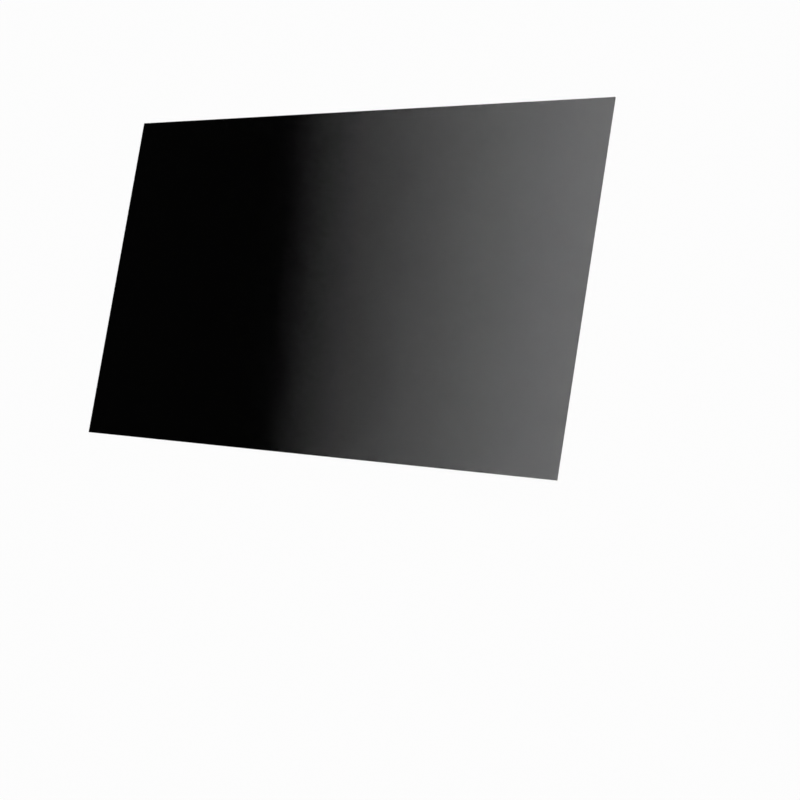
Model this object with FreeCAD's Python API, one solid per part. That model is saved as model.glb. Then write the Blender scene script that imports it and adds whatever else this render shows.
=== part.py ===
"""Monitor privacy filter: one flat sheet of bonded louvre film, die-cut with small round corners.

The sheet lies on its back face, and the origin is the centre of that face.
X runs across the sheet, Y up the sheet and Z out of its front face, towards the viewer.
"""

import FreeCAD, Part
import os

from FreeCAD import Vector

# Driving sizes, in millimetres
SHEET_WIDTH = 531.0
SHEET_HEIGHT = 299.0
SHEET_THICKNESS = 0.5
CORNER_RADIUS = 0.5

OUTPUT_FOLDER = "parts"


def rounded_rectangle(width, height, radius):
    """A face in the XY plane, centred on the origin: straight cut edges joined by corner arcs."""
    half_x = width / 2
    half_y = height / 2
    inner_x = half_x - radius
    inner_y = half_y - radius
    # The middle of a corner's arc lies at 45 degrees from the arc's centre.
    arc_reach = radius * 0.5 ** 0.5
    edges = []
    for turn, (run, rise) in enumerate([(inner_x, half_y), (inner_y, half_x)] * 2):
        # Each pass draws one side along +X and the arc after it, then turns them into place.
        side = Part.LineSegment(Vector(-run, -rise, 0), Vector(run, -rise, 0))
        centre = Vector(run, radius - rise, 0)
        corner = Part.Arc(
            Vector(run, -rise, 0),
            centre + Vector(arc_reach, -arc_reach, 0),
            centre + Vector(radius, 0, 0),
        )
        for curve in (side, corner):
            edge = curve.toShape()
            edge.rotate(Vector(0, 0, 0), Vector(0, 0, 1), 90 * turn)
            edges.append(edge)
    return Part.Face(Part.Wire(edges))


def filter_sheet():
    """The sheet itself: its outline carried straight up from the back face to the front face."""
    outline = rounded_rectangle(SHEET_WIDTH, SHEET_HEIGHT, CORNER_RADIUS)
    return outline.extrude(Vector(0, 0, SHEET_THICKNESS))


def main():
    os.makedirs(OUTPUT_FOLDER, exist_ok=True)
    filter_sheet().exportStep(os.path.join(OUTPUT_FOLDER, "filter_sheet.step"))


main()
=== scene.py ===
"""Looks of a monitor privacy filter: a sheet of clear film with fine black louvres inside it.

The sheet lies flat on a white floor, and the camera looks down on it at the photograph's angle.
Sizes are in metres, in the part's own frame: X across the sheet, Y up it and Z out of its front face.
"""

import math

import bpy
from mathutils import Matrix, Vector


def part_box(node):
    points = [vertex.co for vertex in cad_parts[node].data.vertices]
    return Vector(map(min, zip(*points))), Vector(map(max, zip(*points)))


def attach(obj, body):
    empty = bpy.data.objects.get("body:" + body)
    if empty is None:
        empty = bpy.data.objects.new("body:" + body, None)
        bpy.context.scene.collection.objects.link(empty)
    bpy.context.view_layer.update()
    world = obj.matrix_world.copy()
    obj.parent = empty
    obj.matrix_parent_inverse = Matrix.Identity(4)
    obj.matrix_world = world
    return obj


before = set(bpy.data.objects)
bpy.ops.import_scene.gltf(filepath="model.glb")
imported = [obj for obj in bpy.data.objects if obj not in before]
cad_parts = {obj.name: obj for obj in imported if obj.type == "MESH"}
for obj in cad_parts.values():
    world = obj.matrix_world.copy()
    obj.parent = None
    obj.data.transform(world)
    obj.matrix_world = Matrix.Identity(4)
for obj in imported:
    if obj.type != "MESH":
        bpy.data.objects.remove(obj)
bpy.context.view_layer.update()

MM = 0.001

# Louvres: black slats that stand between the sheet's two faces and run up it, at an even pitch.
# The gap and the height set how far to the side the sheet can be seen through.
# The margin keeps the slats clear of the sheet's cut edges.
LOUVRE_GAP = 0.155 * MM
LOUVRE_WALL = 0.020 * MM
LOUVRE_HEIGHT = 0.300 * MM
LOUVRE_MARGIN = 0.150 * MM

# Louvre resin: full of soot, which is a little uneven from patch to patch
SOOT_PATCH_SIZE = 0.6 * MM
SOOT_DETAIL = 2.0
SOOT_REFLECTANCE_RANGE = (0.0004, 0.0016)

# Film: clear resin under a low-glare hard coat, which mirrors about a third of what bare resin does
FILM_COLOUR = (0.95, 0.95, 0.955, 1.0)
FILM_INDEX = 1.5
COAT_MIRROR_TINT = (0.3, 0.3, 0.3, 1.0)
GRAIN_SIZE = 1.1 * MM
GRAIN_DETAIL = 3.0
GRAIN_ROUGHNESS_RANGE = (0.05, 0.10)
WAVE_SIZE = 90 * MM
WAVE_DETAIL = 1.0
WAVE_HEIGHT = 0.1 * MM

# Floor: a matt grey, with a glow that lifts it to white wherever the eye sees it.
# The drop keeps it from lying in the very plane of the sheet's back face.
FLOOR_HALF_SIZE = 30.0
FLOOR_DROP = 0.2 * MM
FLOOR_COLOUR = (0.35, 0.35, 0.35, 1.0)
FLOOR_GLOW = 0.65

# Light: a broad soft lamp overhead, in a studio with pale grey walls and a dark ceiling.
# Each stop of the studio is the sine of an angle above the horizon, and the brightness there.
LAMP_SPREAD_DEG = 50.0
LAMP_STRENGTH = 2.75
STUDIO_STOPS = ((0.0, 1.0), (0.05, 0.5), (0.18, 0.5), (0.36, 0.03))

# Camera: the photograph's view of the sheet, with the sheet's top edge up
CAMERA_PLACE = (1.048, -0.253, 1.140)
CAMERA_TURN_DEG = (13.36, 38.15, 11.69)
CAMERA_SENSOR_MM = 36.0
CAMERA_LENS_MM = 82.7


def new_material(name):
    """A material with a Principled shader, its node tree and that shader."""
    material = bpy.data.materials.new(name)
    material.use_nodes = True
    return material, material.node_tree, material.node_tree.nodes["Principled BSDF"]


def make_matt(shader):
    """Takes all shine off a shader."""
    shader.inputs["Roughness"].default_value = 1.0
    shader.inputs["Specular IOR Level"].default_value = 0.0


def soft_noise(tree, patch_size, detail):
    """Noise from 0 to 1, fixed to the part, in soft patches of about patch_size."""
    place = tree.nodes.new("ShaderNodeTexCoord")
    texture = tree.nodes.new("ShaderNodeTexNoise")
    texture.inputs["Scale"].default_value = 1 / patch_size
    texture.inputs["Detail"].default_value = detail
    tree.links.new(place.outputs["Object"], texture.inputs["Vector"])
    return texture.outputs["Fac"]


def value_between(tree, ends, share):
    """A value that goes from the first of two ends to the second as share goes from 0 to 1."""
    first, last = ends
    value = tree.nodes.new("ShaderNodeMapRange")
    value.inputs["To Min"].default_value = first
    value.inputs["To Max"].default_value = last
    tree.links.new(share, value.inputs["Value"])
    return value.outputs["Result"]


def film_material():
    """Clear film: a fine low-glare grain in its roughness, and the faint waves of a laminated sheet."""
    material, tree, shader = new_material("hard_coated_film")
    shader.inputs["Base Color"].default_value = FILM_COLOUR
    shader.inputs["Transmission Weight"].default_value = 1.0
    shader.inputs["IOR"].default_value = FILM_INDEX
    shader.inputs["Specular Tint"].default_value = COAT_MIRROR_TINT

    grain = soft_noise(tree, GRAIN_SIZE, GRAIN_DETAIL)
    tree.links.new(value_between(tree, GRAIN_ROUGHNESS_RANGE, grain), shader.inputs["Roughness"])

    waves = tree.nodes.new("ShaderNodeBump")
    waves.inputs["Distance"].default_value = WAVE_HEIGHT
    tree.links.new(soft_noise(tree, WAVE_SIZE, WAVE_DETAIL), waves.inputs["Height"])
    tree.links.new(waves.outputs["Normal"], shader.inputs["Normal"])
    return material


def louvre_material():
    """Sooty resin. The clear resin round it has the same index, so it has no shine of its own."""
    material, tree, shader = new_material("louvre_black")
    make_matt(shader)
    soot = soft_noise(tree, SOOT_PATCH_SIZE, SOOT_DETAIL)
    tree.links.new(value_between(tree, SOOT_REFLECTANCE_RANGE, soot), shader.inputs["Base Color"])
    return material


def floor_material():
    """Matt grey, with a white glow for the eye: seen straight, mirrored in the film or through it."""
    material, tree, shader = new_material("floor_white")
    make_matt(shader)
    shader.inputs["Base Color"].default_value = FLOOR_COLOUR

    path = tree.nodes.new("ShaderNodeLightPath")
    seen = path.outputs["Is Camera Ray"]
    for ray in ("Is Glossy Ray", "Is Transmission Ray"):
        either = tree.nodes.new("ShaderNodeMath")
        either.operation = "MAXIMUM"
        tree.links.new(seen, either.inputs[0])
        tree.links.new(path.outputs[ray], either.inputs[1])
        seen = either.outputs["Value"]
    tree.links.new(value_between(tree, (0.0, FLOOR_GLOW), seen), shader.inputs["Emission Strength"])
    return material


def add_object(name, data):
    """An object with this data, in the scene."""
    made = bpy.data.objects.new(name, data)
    bpy.context.scene.collection.objects.link(made)
    return made


def add_mesh(name, points, faces, material):
    """An object from plain lists of points and faces."""
    mesh = bpy.data.meshes.new(name)
    mesh.from_pydata(points, [], faces)
    mesh.materials.append(material)
    return add_object(name, mesh)


def dress_sheet(sheet):
    """Gives the sheet its film, on every face."""
    film = film_material()
    for slot in sheet.material_slots:
        slot.material = film


def slat(low, high):
    """The eight corners and six outward faces of one closed slat, from its lowest and highest corner."""
    across, along, through = zip(low, high)
    corners = [(x, y, z) for z in through for y in along for x in across]
    faces = [(0, 2, 3, 1), (4, 5, 7, 6), (0, 1, 5, 4), (2, 6, 7, 3), (0, 4, 6, 2), (1, 3, 7, 5)]
    return corners, faces


def make_louvres(sheet_low, sheet_high):
    """Every slat of the sheet, as one piece: centred across the sheet and between its faces."""
    pitch = LOUVRE_GAP + LOUVRE_WALL
    room = sheet_high.x - sheet_low.x - 2 * LOUVRE_MARGIN - LOUVRE_WALL
    spaces = int(room / pitch)
    first_left = (sheet_low.x + sheet_high.x - spaces * pitch - LOUVRE_WALL) / 2
    bottom = (sheet_low.z + sheet_high.z - LOUVRE_HEIGHT) / 2
    points = []
    faces = []
    for index in range(spaces + 1):
        left = first_left + index * pitch
        slat_corners, slat_faces = slat(
            (left, sheet_low.y + LOUVRE_MARGIN, bottom),
            (left + LOUVRE_WALL, sheet_high.y - LOUVRE_MARGIN, bottom + LOUVRE_HEIGHT),
        )
        faces += [[len(points) + corner for corner in face] for face in slat_faces]
        points += slat_corners
    louvres = add_mesh("micro_louvres", points, faces, louvre_material())
    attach(louvres, "root")


def make_floor(level):
    """A wide plain floor just under the sheet."""
    reach = FLOOR_HALF_SIZE
    points = [
        (-reach, -reach, level),
        (reach, -reach, level),
        (reach, reach, level),
        (-reach, reach, level),
    ]
    add_mesh("floor", points, [(0, 1, 2, 3)], floor_material())


def make_world():
    """A studio all round, whose brightness changes only with the height above the horizon."""
    world = bpy.data.worlds.new("studio")
    world.use_nodes = True
    bpy.context.scene.world = world
    tree = world.node_tree
    direction = tree.nodes.new("ShaderNodeTexCoord")
    axes = tree.nodes.new("ShaderNodeSeparateXYZ")
    walls = tree.nodes.new("ShaderNodeValToRGB")
    walls.color_ramp.interpolation = "EASE"
    stops = walls.color_ramp.elements
    # A new ramp has two stops. The rest are added at its end, and then each goes to its place.
    while len(stops) < len(STUDIO_STOPS):
        stops.new(1.0)
    for stop, (rise, brightness) in zip(stops, STUDIO_STOPS):
        stop.position = rise
        stop.color = (brightness, brightness, brightness, 1.0)
    tree.links.new(direction.outputs["Generated"], axes.inputs["Vector"])
    tree.links.new(axes.outputs["Z"], walls.inputs["Fac"])
    tree.links.new(walls.outputs["Color"], tree.nodes["Background"].inputs["Color"])


def make_lamp():
    """Soft light from straight above, even over the whole floor."""
    lamp = bpy.data.lights.new("overhead", "SUN")
    lamp.angle = math.radians(LAMP_SPREAD_DEG)
    lamp.energy = LAMP_STRENGTH
    add_object("overhead", lamp)


def make_camera():
    """The camera that took the photograph, as far as the sheet's corners tell."""
    lens = bpy.data.cameras.new("camera")
    lens.sensor_width = CAMERA_SENSOR_MM
    lens.lens = CAMERA_LENS_MM
    camera = add_object("camera", lens)
    camera.location = CAMERA_PLACE
    camera.rotation_euler = [math.radians(turn) for turn in CAMERA_TURN_DEG]
    bpy.context.scene.camera = camera


dress_sheet(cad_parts["filter_sheet"])
sheet_low, sheet_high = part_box("filter_sheet")
make_louvres(sheet_low, sheet_high)
make_floor(sheet_low.z - FLOOR_DROP)
make_world()
make_lamp()
make_camera()
bpy.context.scene.view_settings.view_transform = "Standard"
